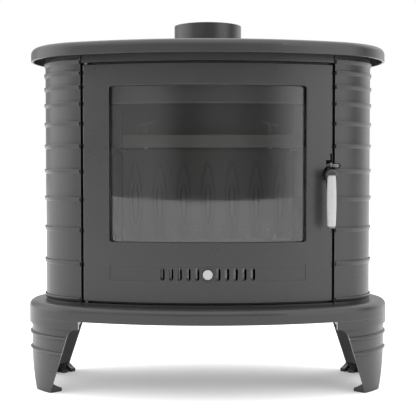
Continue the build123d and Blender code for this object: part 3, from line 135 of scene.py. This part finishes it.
cast_surface, group_in, group_out = new_group(
    "cast_surface",
    (("Paint", "NodeSocketColor", (0.03, 0.03, 0.031, 1.0)),
     ("Rubbed And Highlit", "NodeSocketColor", (0.09, 0.09, 0.09, 1.0)),
     ("Wear And Highlight", "NodeSocketFloat", 0.4), ("Grain Size", "NodeSocketFloat", 0.0016),
     ("Smooth", "NodeSocketFloat", 0.42), ("Rough", "NodeSocketFloat", 0.56)),
    (("Color", "NodeSocketColor"), ("Roughness", "NodeSocketFloat"), ("Height", "NodeSocketFloat")),
)
place = cast_surface.nodes.new("ShaderNodeTexCoord").outputs["Object"]
grains_per_metre = math_node(cast_surface, "DIVIDE", 1.0, group_in.outputs["Grain Size"])
grain = noise(cast_surface, place, grains_per_metre, 4.0, 0.6)
sand = noise(cast_surface, place, 240.0, 3.0)
cloud = noise(cast_surface, place, 9.0, 4.0)
worn_and_highlit_edges = cast_surface.nodes.new("ShaderNodeGroup")
worn_and_highlit_edges.node_tree = edge_wear_and_highlight
patchy = remap(cast_surface, sand, 0.35, 0.65, 0.5, 1.0)
patchy_edges = math_node(cast_surface, "MULTIPLY", worn_and_highlit_edges.outputs["Mask"], patchy)
rubbed_and_highlit = math_node(cast_surface, "MULTIPLY", patchy_edges, group_in.outputs["Wear And Highlight"])
tone = mix_colour(cast_surface, remap(cast_surface, cloud, 0.3, 0.7, 0.0, 0.22), group_in.outputs["Paint"],
                  (0.046, 0.045, 0.045, 1.0))
tone = mix_colour(cast_surface, remap(cast_surface, grain, 0.35, 0.65, 0.0, 0.35), tone,
                  (0.020, 0.020, 0.021, 1.0))
# Painted shade: the colour darkens to near black in corners and grooves, following the occlusion mask.
painted_crevice_shade = remap(cast_surface, crevices(cast_surface, 0.009), 0.4, 1.0, 0.9, 0.0)
tone = mix_colour(cast_surface, painted_crevice_shade, tone, (0.006, 0.006, 0.006, 1.0))
# Edges lighter: partly rubbed paint, partly a painted highlight along the rims and roundings.
tone = mix_colour(cast_surface, rubbed_and_highlit, tone, group_in.outputs["Rubbed And Highlit"])
mottle = math_node(cast_surface, "ADD", math_node(cast_surface, "MULTIPLY", cloud, 0.5),
                   math_node(cast_surface, "MULTIPLY", sand, 0.5))
gloss = remap(cast_surface, mottle, 0.35, 0.65, group_in.outputs["Smooth"], group_in.outputs["Rough"])
cast_surface.links.new(tone, group_out.inputs["Color"])
cast_surface.links.new(gloss, group_out.inputs["Roughness"])
pitting = math_node(cast_surface, "ADD", grain, math_node(cast_surface, "MULTIPLY", sand, 0.6))
cast_surface.links.new(pitting, group_out.inputs["Height"])


def surfaced(name, group, values, bump_depth, **plain):
    """Material whose colour, roughness and relief come from one of the groups."""
    material = bpy.data.materials.new(name)
    material.use_nodes = True
    tree = material.node_tree
    shader = tree.nodes["Principled BSDF"]
    finish = tree.nodes.new("ShaderNodeGroup")
    finish.node_tree = group
    for label, value in values.items():
        finish.inputs[label].default_value = value
    relief = tree.nodes.new("ShaderNodeBump")
    relief.inputs["Strength"].default_value = 0.6
    relief.inputs["Distance"].default_value = bump_depth
    tree.links.new(finish.outputs["Color"], shader.inputs["Base Color"])
    tree.links.new(finish.outputs["Roughness"], shader.inputs["Roughness"])
    tree.links.new(finish.outputs["Height"], relief.inputs["Height"])
    tree.links.new(relief.outputs["Normal"], shader.inputs["Normal"])
    for label, value in plain.items():
        shader.inputs[label.replace("_", " ")].default_value = value
    return material


def coat(material, *names):
    """Give CAD nodes one material."""
    for name in names:
        slots = nodes[name].material_slots
        if not slots:
            nodes[name].data.materials.append(material)
        for one in slots:
            one.material = material


black_iron = surfaced("black_painted_iron", cast_surface,
                      {"Paint": (0.023, 0.023, 0.024, 1.0), "Rubbed And Highlit": (0.11, 0.11, 0.11, 1.0), "Wear And Highlight": 0.5,
                       "Grain Size": 0.0017, "Smooth": 0.27, "Rough": 0.38}, 0.00016)
coat(black_iron, "top_plate", "base_plate", "leg_front_left", "leg_front_right", "leg_rear_left",
     "leg_rear_right", "side_panel_left", "side_panel_right", "back_panel", "flue_collar", "door_frame",
     "front_frame", "handle_lever")

# ------------------------------------------------------------------------ firebox
# Bare castings round the fire: leafed back liner, side liners, floor, grate and log bars.
# The same iron without gloss, greyed by heat and dusted with pale ash low down.
hearth_surface, group_in, group_out = new_group(
    "hearth_surface",
    (("Iron", "NodeSocketColor", (0.05, 0.049, 0.048, 1.0)), ("Ash", "NodeSocketFloat", 0.3)),
    (("Color", "NodeSocketColor"), ("Roughness", "NodeSocketFloat"), ("Height", "NodeSocketFloat")),
)
place = hearth_surface.nodes.new("ShaderNodeTexCoord").outputs["Object"]
grain = noise(hearth_surface, place, 520.0, 4.0, 0.6)
stain = noise(hearth_surface, place, 26.0, 5.0, 0.6)
split = hearth_surface.nodes.new("ShaderNodeSeparateXYZ")
hearth_surface.links.new(place, split.inputs[0])
fire_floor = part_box("grate")[1][2]
ash_reach = 0.09
low_down = remap(hearth_surface, split.outputs["Z"], fire_floor + ash_reach, fire_floor, 0.0, 1.0)
dusty = math_node(hearth_surface, "MULTIPLY", math_node(hearth_surface, "MULTIPLY", low_down, stain),
                  group_in.outputs["Ash"])
tone = mix_colour(hearth_surface, remap(hearth_surface, stain, 0.35, 0.65, 0.0, 0.5),
                  group_in.outputs["Iron"], (0.078, 0.076, 0.073, 1.0))
tone = mix_colour(hearth_surface, remap(hearth_surface, grain, 0.35, 0.65, 0.0, 0.4), tone,
                  (0.035, 0.035, 0.035, 1.0))
# Painted shade: the colour darkens to near black in corners and grooves of the liners, following the
# occlusion mask.
painted_corner_shade = remap(hearth_surface, crevices(hearth_surface, 0.008), 0.45, 1.0, 0.92, 0.0)
tone = mix_colour(hearth_surface, painted_corner_shade, tone, (0.008, 0.008, 0.008, 1.0))
tone = mix_colour(hearth_surface, dusty, tone, (0.14, 0.135, 0.13, 1.0))
hearth_surface.links.new(tone, group_out.inputs["Color"])
hearth_surface.links.new(remap(hearth_surface, stain, 0.3, 0.7, 0.55, 0.8), group_out.inputs["Roughness"])
hearth_surface.links.new(grain, group_out.inputs["Height"])

fire_iron = surfaced("heat_greyed_iron", hearth_surface,
                     {"Iron": (0.060, 0.058, 0.057, 1.0), "Ash": 0.3}, 0.0002)
coat(fire_iron, "back_liner", "side_liner_left", "side_liner_right", "firebox_floor", "grate", "log_guard",
     "rear_log_comb")

# The baffle is one pressed board of mineral flakes, not a casting, and is sooted all over.
fire_board = surfaced("sooted_fire_board", hearth_surface,
                      {"Iron": (0.062, 0.060, 0.057, 1.0), "Ash": 0.0}, 0.0005)
coat(fire_board, "baffle")

# --------------------------------------------------------------------- sheet steel
# Folded and cut pieces: airwash plate, baffle hangers, ledges and tabs, floor supports,
# ash shelf and ash pan. Rolled sheet under a thin matt black paint that shows its edges: they are lighter,
# partly worn and partly a painted highlight.
sheet_paint = surfaced("matt_black_sheet", cast_surface,
                       {"Paint": (0.030, 0.030, 0.030, 1.0), "Rubbed And Highlit": (0.22, 0.22, 0.22, 1.0), "Wear And Highlight": 0.6,
                        "Grain Size": 0.0007, "Smooth": 0.45, "Rough": 0.62}, 0.00004)
coat(sheet_paint, "airwash_plate", "baffle_hanger_left", "baffle_hanger_right", "baffle_ledge_left",
     "baffle_ledge_right", "baffle_lift_tabs", "floor_support_left", "floor_support_right", "ash_shelf",
     "ash_pan", "ash_pan_handle")

# -------------------------------------------------------------------- bright steel
# Turned and cut steel: hinge and handle pins, latch, shutter, guides, clips and rods.
# Oil-blackened, with the tool's fine lines showing and bare metal along the edges.
turned_steel, group_in, group_out = new_group(
    "turned_steel",
    (("Metal", "NodeSocketColor", (0.16, 0.16, 0.165, 1.0)),),
    (("Color", "NodeSocketColor"), ("Roughness", "NodeSocketFloat"), ("Height", "NodeSocketFloat")),
)
place = turned_steel.nodes.new("ShaderNodeTexCoord").outputs["Object"]
stretch = turned_steel.nodes.new("ShaderNodeMapping")
stretch.inputs["Scale"].default_value = (1.0, 1.0, 14.0)
turned_steel.links.new(place, stretch.inputs["Vector"])
lines = noise(turned_steel, stretch.outputs["Vector"], 160.0, 3.0)
blotch = noise(turned_steel, place, 70.0, 3.0)
worn_and_highlit_edges = turned_steel.nodes.new("ShaderNodeGroup")
worn_and_highlit_edges.node_tree = edge_wear_and_highlight
worn_and_highlit_edges.inputs["Radius"].default_value = 0.0008
tone = mix_colour(turned_steel, remap(turned_steel, blotch, 0.35, 0.65, 0.0, 0.6),
                  group_in.outputs["Metal"], (0.07, 0.068, 0.066, 1.0))
tone = mix_colour(turned_steel, math_node(turned_steel, "MULTIPLY", worn_and_highlit_edges.outputs["Mask"], 0.6), tone,
                  (0.45, 0.45, 0.46, 1.0))
turned_steel.links.new(tone, group_out.inputs["Color"])
turned_steel.links.new(remap(turned_steel, lines, 0.3, 0.7, 0.28, 0.46), group_out.inputs["Roughness"])
turned_steel.links.new(lines, group_out.inputs["Height"])

dark_steel = surfaced("oiled_dark_steel", turned_steel, {"Metal": (0.20, 0.20, 0.205, 1.0)}, 0.00003,
                      Metallic=1.0)
coat(dark_steel, "hinge_pin_upper", "hinge_pin_lower", "handle_pin", "latch_hook", "latch_keeper", "tie_rods",
     "tie_rod_nuts", "air_shutter", "shutter_guides", "glass_clips", "handle_grip_nut")

# ---------------------------------------------------------------- screws and bolts
# Machine screws with domed heads and six-sided sockets, cold-headed and blackened.
# Each row stands in its drilled holes and goes with the piece that it holds.
def islands(name):
    """Points of each separate solid in a CAD node."""
    shape = bmesh.new()
    shape.from_mesh(nodes[name].data)
    bmesh.ops.remove_doubles(shape, verts=shape.verts, dist=1e-6)
    shape.verts.ensure_lookup_table()
    seen = set()
    for start in shape.verts:
        if start.index in seen:
            continue
        seen.add(start.index)
        island = [start]
        for vert in island:
            for edge in vert.link_edges:
                other = edge.other_vert(vert)
                if other.index not in seen:
                    seen.add(other.index)
                    island.append(other)
        yield numpy.array([vert.co for vert in island])
    shape.free()


def measured_screw(points):
    """Seat under the head, outward direction, and the radii and lengths of one screw.
    The axis is the odd one of the three spreads, and the tip lies farthest from the middle."""
    middle = points.mean(axis=0)
    spread, ways = numpy.linalg.svd(points - middle)[1:]
    way = ways[0] if spread[0] - spread[1] > spread[1] - spread[2] else ways[2]
    along = (points - middle) @ way
    radial = numpy.linalg.norm(points - middle - numpy.outer(along, way), axis=1)
    if along.max() > -along.min():
        way, along = -way, -along
    seat = along[radial > 0.98 * radial.max()].min()
    shank = radial[along < seat - 0.001].max()
    return middle + seat * way, way, radial.max(), along.max() - seat, shank, seat - along.min()


def geometry_node(tree, kind, inputs, **settings):
    """Node with its settings, and its inputs given as values or as sockets."""
    node = tree.nodes.new(kind)
    for label, value in settings.items():
        setattr(node, label, value)
    for label, value in inputs.items():
        if isinstance(value, bpy.types.NodeSocket):
            tree.links.new(value, node.inputs[label])
        else:
            node.inputs[label].default_value = value
    return node.outputs[0]


def geometry_tree(name, sizes):
    """Geometry Nodes tree with a geometry input, named sizes and a material."""
    tree = bpy.data.node_groups.new(name, "GeometryNodeTree")
    tree.interface.new_socket("Geometry", in_out="INPUT", socket_type="NodeSocketGeometry")
    for label in sizes:
        tree.interface.new_socket(label, in_out="INPUT", socket_type="NodeSocketFloat")
    tree.interface.new_socket("Material", in_out="INPUT", socket_type="NodeSocketMaterial")
    tree.interface.new_socket("Geometry", in_out="OUTPUT", socket_type="NodeSocketGeometry")
    return tree, tree.nodes.new("NodeGroupInput").outputs


def close_tree(tree, geometry, material):
    """Realize the copies, give them their material and put them out."""
    plain = geometry_node(tree, "GeometryNodeRealizeInstances", {"Geometry": geometry})
    coated = geometry_node(tree, "GeometryNodeSetMaterial", {"Geometry": plain, "Material": material})
    tree.links.new(coated, tree.nodes.new("NodeGroupOutput").inputs["Geometry"])


def grown(name, data, tree, material, sizes):
    """Plain mesh object that a tree makes out of a starting mesh or curve."""
    holder = bpy.data.objects.new(name, data)
    bpy.context.collection.objects.link(holder)
    modifier = holder.modifiers.new("shape", "NODES")
    modifier.node_group = tree
    values = dict(sizes, Material=material)
    for item in tree.interface.items_tree:
        if item.in_out == "INPUT" and item.name in values:
            modifier[item.identifier] = values[item.name]
    mesh = bpy.data.meshes.new_from_object(holder.evaluated_get(bpy.context.evaluated_depsgraph_get()))
    bpy.data.objects.remove(holder)
    piece = bpy.data.objects.new(name, mesh)
    bpy.context.collection.objects.link(piece)
    return piece


screw_sizes = ("Head Radius", "Head Height", "Shank Radius", "Shank Length")
screws, given = geometry_tree("domed_socket_screws", screw_sizes)
half_head = math_node(screws, "MULTIPLY", given["Head Height"], 0.5)
lift = geometry_node(screws, "ShaderNodeCombineXYZ", {"Z": half_head})
head = geometry_node(screws, "GeometryNodeMeshCylinder", {
    "Vertices": 28, "Side Segments": 6, "Fill Segments": 2, "Radius": given["Head Radius"],
    "Depth": given["Head Height"]})
head = geometry_node(screws, "GeometryNodeTransform", {"Geometry": head, "Translation": lift})

# The head draws in towards its top, most of all near the rim.
spot = screws.nodes.new("GeometryNodeInputPosition").outputs[0]
height = screws.nodes.new("ShaderNodeSeparateXYZ")
screws.links.new(spot, height.inputs[0])
share = math_node(screws, "DIVIDE", height.outputs["Z"], given["Head Height"])
drawn_in = math_node(screws, "MULTIPLY", math_node(screws, "POWER", share, 4.0), 0.22)
shrink = math_node(screws, "SUBTRACT", 1.0, drawn_in)
factors = geometry_node(screws, "ShaderNodeCombineXYZ", {"X": shrink, "Y": shrink, "Z": 1.0})
domed = screws.nodes.new("ShaderNodeVectorMath")
domed.operation = "MULTIPLY"
screws.links.new(spot, domed.inputs[0])
screws.links.new(factors, domed.inputs[1])
head = geometry_node(screws, "GeometryNodeSetPosition", {"Geometry": head, "Position": domed.outputs[0]})
socket = geometry_node(screws, "GeometryNodeMeshCylinder", {
    "Vertices": 6, "Radius": math_node(screws, "MULTIPLY", given["Head Radius"], 0.48),
    "Depth": math_node(screws, "MULTIPLY", given["Head Height"], 1.2)})
to_head_top = geometry_node(screws, "ShaderNodeCombineXYZ", {"Z": given["Head Height"]})
socket = geometry_node(screws, "GeometryNodeTransform", {"Geometry": socket, "Translation": to_head_top})
head = geometry_node(screws, "GeometryNodeMeshBoolean", {"Mesh 1": head, "Mesh 2": socket},
                     operation="DIFFERENCE")
shank = geometry_node(screws, "GeometryNodeMeshCylinder", {
    "Vertices": 20, "Radius": given["Shank Radius"], "Depth": given["Shank Length"]})
half_shank = math_node(screws, "MULTIPLY", given["Shank Length"], -0.5)
below_head = geometry_node(screws, "ShaderNodeCombineXYZ", {"Z": half_shank})
shank = geometry_node(screws, "GeometryNodeTransform", {"Geometry": shank, "Translation": below_head})
joined = screws.nodes.new("GeometryNodeJoinGeometry")
for part in (head, shank):
    screws.links.new(part, joined.inputs[0])
way = geometry_node(screws, "GeometryNodeInputNamedAttribute", {"Name": "way"}, data_type="FLOAT_VECTOR")
turn = geometry_node(screws, "FunctionNodeAlignRotationToVector", {"Vector": way}, axis="Z")
row = geometry_node(screws, "GeometryNodeInstanceOnPoints", {
    "Points": given["Geometry"], "Instance": joined.outputs[0], "Rotation": turn})
close_tree(screws, row, given["Material"])

for name, body in (("flue_collar_bolts", "stove"), ("leg_bolts", "stove"), ("frame_screws", "stove"),
                   ("back_panel_screws", "stove"), ("latch_keeper_screws", "stove"),
                   ("airwash_screws", "stove"), ("baffle_bolts", "stove"), ("glass_clip_screws", "door"),
                   ("shutter_guide_screws", "door")):
    found = [measured_screw(points) for points in islands(name)]
    starts = bpy.data.meshes.new(name + "_places")
    starts.from_pydata([tuple(screw[0]) for screw in found], [], [])
    ways = starts.attributes.new("way", "FLOAT_VECTOR", "POINT")
    ways.data.foreach_set("vector", numpy.concatenate([screw[1] for screw in found]))
    fixings = grown("domed_" + name, starts, screws, dark_steel,
                    {label: float(value) for label, value in zip(screw_sizes, found[0][2:])})
    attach(fixings, body)
    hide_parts(name)

# --------------------------------------------------------------- ceramic grip, knob
# Handle grip and air knob, turned in clay and fired with a clear glaze over white.
# Each is held by a steel stem through its middle.
glaze, group_in, group_out = new_group(
    "white_glaze", (("Body", "NodeSocketColor", (0.74, 0.74, 0.73, 1.0)),),
    (("Color", "NodeSocketColor"), ("Roughness", "NodeSocketFloat"), ("Height", "NodeSocketFloat")),
)
place = glaze.nodes.new("ShaderNodeTexCoord").outputs["Object"]
ripple = noise(glaze, place, 90.0, 2.0)
fleck = noise(glaze, place, 1100.0, 2.0)
tone = mix_colour(glaze, remap(glaze, ripple, 0.3, 0.7, 0.0, 0.25), group_in.outputs["Body"],
                  (0.47, 0.47, 0.46, 1.0))
tone = mix_colour(glaze, remap(glaze, fleck, 0.68, 0.78, 0.0, 0.35), tone, (0.34, 0.33, 0.31, 1.0))
glaze.links.new(tone, group_out.inputs["Color"])
glaze.links.new(remap(glaze, ripple, 0.3, 0.7, 0.14, 0.24), group_out.inputs["Roughness"])
glaze.links.new(ripple, group_out.inputs["Height"])

white_ceramic = surfaced("glazed_white_ceramic", glaze, {"Body": (0.36, 0.36, 0.355, 1.0)}, 0.00025)
coat(white_ceramic, "handle_grip", "air_knob")

# ----------------------------------------------------------------------- door glass
# One curved pane of clear heat-proof glass, 4 mm thick, held from behind by four clips.
# A faint, uneven film of soot greys it.
pane = bpy.data.materials.new("clear_stove_glass")
pane.use_nodes = True
tree = pane.node_tree
shader = tree.nodes["Principled BSDF"]
shader.inputs["Transmission Weight"].default_value = 1.0
shader.inputs["IOR"].default_value = 1.5
shader.inputs["Metallic"].default_value = 0.0
place = tree.nodes.new("ShaderNodeTexCoord").outputs["Object"]
film = noise(tree, place, 14.0, 4.0)
sooted_glass = mix_colour(tree, remap(tree, film, 0.3, 0.7, 0.0, 0.4), (0.93, 0.94, 0.93, 1.0),
                          (0.80, 0.80, 0.78, 1.0))
tree.links.new(sooted_glass, shader.inputs["Base Color"])
tree.links.new(remap(tree, film, 0.3, 0.7, 0.01, 0.05), shader.inputs["Roughness"])
coat(pane, "door_glass")

# --------------------------------------------------------------------- rope seals
# Woven glass-fibre rope glued in the door's groove, and a flat tape round the pane.
# Dark yarns cross both ways and stand up a little; the gaps between them are darker.
rope, group_in, group_out = new_group(
    "woven_rope", (("Yarn", "NodeSocketColor", (0.11, 0.11, 0.11, 1.0)), ("Pitch", "NodeSocketFloat", 0.003)),
    (("Color", "NodeSocketColor"), ("Roughness", "NodeSocketFloat"), ("Height", "NodeSocketFloat")),
)
place = rope.nodes.new("ShaderNodeTexCoord").outputs["Object"]
weave = []
for turn in (0.8, -0.8):
    slant = rope.nodes.new("ShaderNodeMapping")
    slant.inputs["Rotation"].default_value = (0.0, turn, 0.0)
    rope.links.new(place, slant.inputs["Vector"])
    wave = rope.nodes.new("ShaderNodeTexWave")
    wave.wave_profile = "SIN"
    wave.inputs["Distortion"].default_value = 0.6
    rope.links.new(slant.outputs["Vector"], wave.inputs["Vector"])
    rope.links.new(math_node(rope, "DIVIDE", 0.31, group_in.outputs["Pitch"]), wave.inputs["Scale"])
    weave.append(wave.outputs["Fac"])
braid = math_node(rope, "MAXIMUM", weave[0], weave[1])
tone = mix_colour(rope, braid, (0.03, 0.03, 0.03, 1.0), group_in.outputs["Yarn"])
rope.links.new(tone, group_out.inputs["Color"])
rope.links.new(remap(rope, braid, 0.0, 1.0, 0.95, 0.8), group_out.inputs["Roughness"])
rope.links.new(braid, group_out.inputs["Height"])
seal = surfaced("black_glass_rope", rope, {"Yarn": (0.12, 0.12, 0.12, 1.0)}, 0.0006)
coat(seal, "door_gasket", "glass_gasket")

# ------------------------------------------------------------------ studio and camera
# A pale seamless floor under a white sky, without lamps. The floor glows faintly, so that
# it runs into the background.
floor_material = bpy.data.materials.new("pale_floor")
floor_material.use_nodes = True
shader = floor_material.node_tree.nodes["Principled BSDF"]
shader.inputs["Base Color"].default_value = (0.92, 0.92, 0.92, 1.0)
shader.inputs["Roughness"].default_value = 0.9
shader.inputs["Emission Color"].default_value = (1.0, 1.0, 1.0, 1.0)
shader.inputs["Emission Strength"].default_value = 0.16
floor_mesh = bpy.data.meshes.new("studio_floor")
floor_half = 14.0
floor_corners = [(-floor_half, -floor_half, 0), (floor_half, -floor_half, 0), (floor_half, floor_half, 0),
                 (-floor_half, floor_half, 0)]
floor_mesh.from_pydata(floor_corners, [], [(0, 1, 2, 3)])
floor_mesh.materials.append(floor_material)
studio_floor = bpy.data.objects.new("studio_floor", floor_mesh)
bpy.context.collection.objects.link(studio_floor)

# The sky is brightest at the left and at the front right, and dim straight in front.
# Each band is a bearing in degrees, from the front towards the right, and its brightness.
world = bpy.data.worlds.new("studio_sky")
world.use_nodes = True
tree = world.node_tree
direction = tree.nodes.new("ShaderNodeSeparateXYZ")
tree.links.new(tree.nodes.new("ShaderNodeTexCoord").outputs["Generated"], direction.inputs[0])
forward = math_node(tree, "MULTIPLY", direction.outputs["Y"], -1.0)
bearing = math_node(tree, "ARCTAN2", direction.outputs["X"], forward)
sky = tree.nodes.new("ShaderNodeValToRGB")
sky.color_ramp.interpolation = "EASE"
tree.links.new(remap(tree, bearing, -math.pi, math.pi, 0.0, 1.0), sky.inputs["Fac"])
sky_peak = 3.2
sky_bands = ((-165, 0.8), (-139, 0.6), (-108, 2.6), (-78, 2.7), (-44, 0.65), (-22, 0.75), (-8, 0.2), (6, 0.4),
             (20, 0.25), (44, 2.3), (60, 2.5), (90, 0.25), (126, 1.8), (165, 0.8))
stops = sky.color_ramp.elements
while len(stops) < len(sky_bands):
    stops.new(0.5)
for stop, (degrees, brightness) in zip(stops, sky_bands):
    stop.position = 0.5 + degrees / 360.0
for stop, (degrees, brightness) in zip(stops, sky_bands):
    stop.color = (brightness / sky_peak, brightness / sky_peak, brightness / sky_peak, 1.0)
overhead = remap(tree, direction.outputs["Z"], 0.30, 0.75, 0.0, 1.0)
lit = mix_colour(tree, overhead, sky.outputs["Color"], (0.64, 0.64, 0.64, 1.0))
seen = tree.nodes.new("ShaderNodeLightPath").outputs["Is Camera Ray"]
backdrop = mix_colour(tree, seen, lit, (1.0 / sky_peak, 1.0 / sky_peak, 1.0 / sky_peak, 1.0))
tree.links.new(backdrop, tree.nodes["Background"].inputs["Color"])
tree.nodes["Background"].inputs["Strength"].default_value = sky_peak
bpy.context.scene.world = world
bpy.context.scene.view_settings.view_transform = "Standard"

lens = bpy.data.cameras.new("camera")
lens.lens = 84.44
lens.sensor_width = 36.0
camera = bpy.data.objects.new("camera", lens)
camera.location = (0.0005, -2.123, 0.454)
camera.rotation_euler = (math.radians(87.959), 0.0, 0.0)
bpy.context.collection.objects.link(camera)
bpy.context.scene.camera = camera
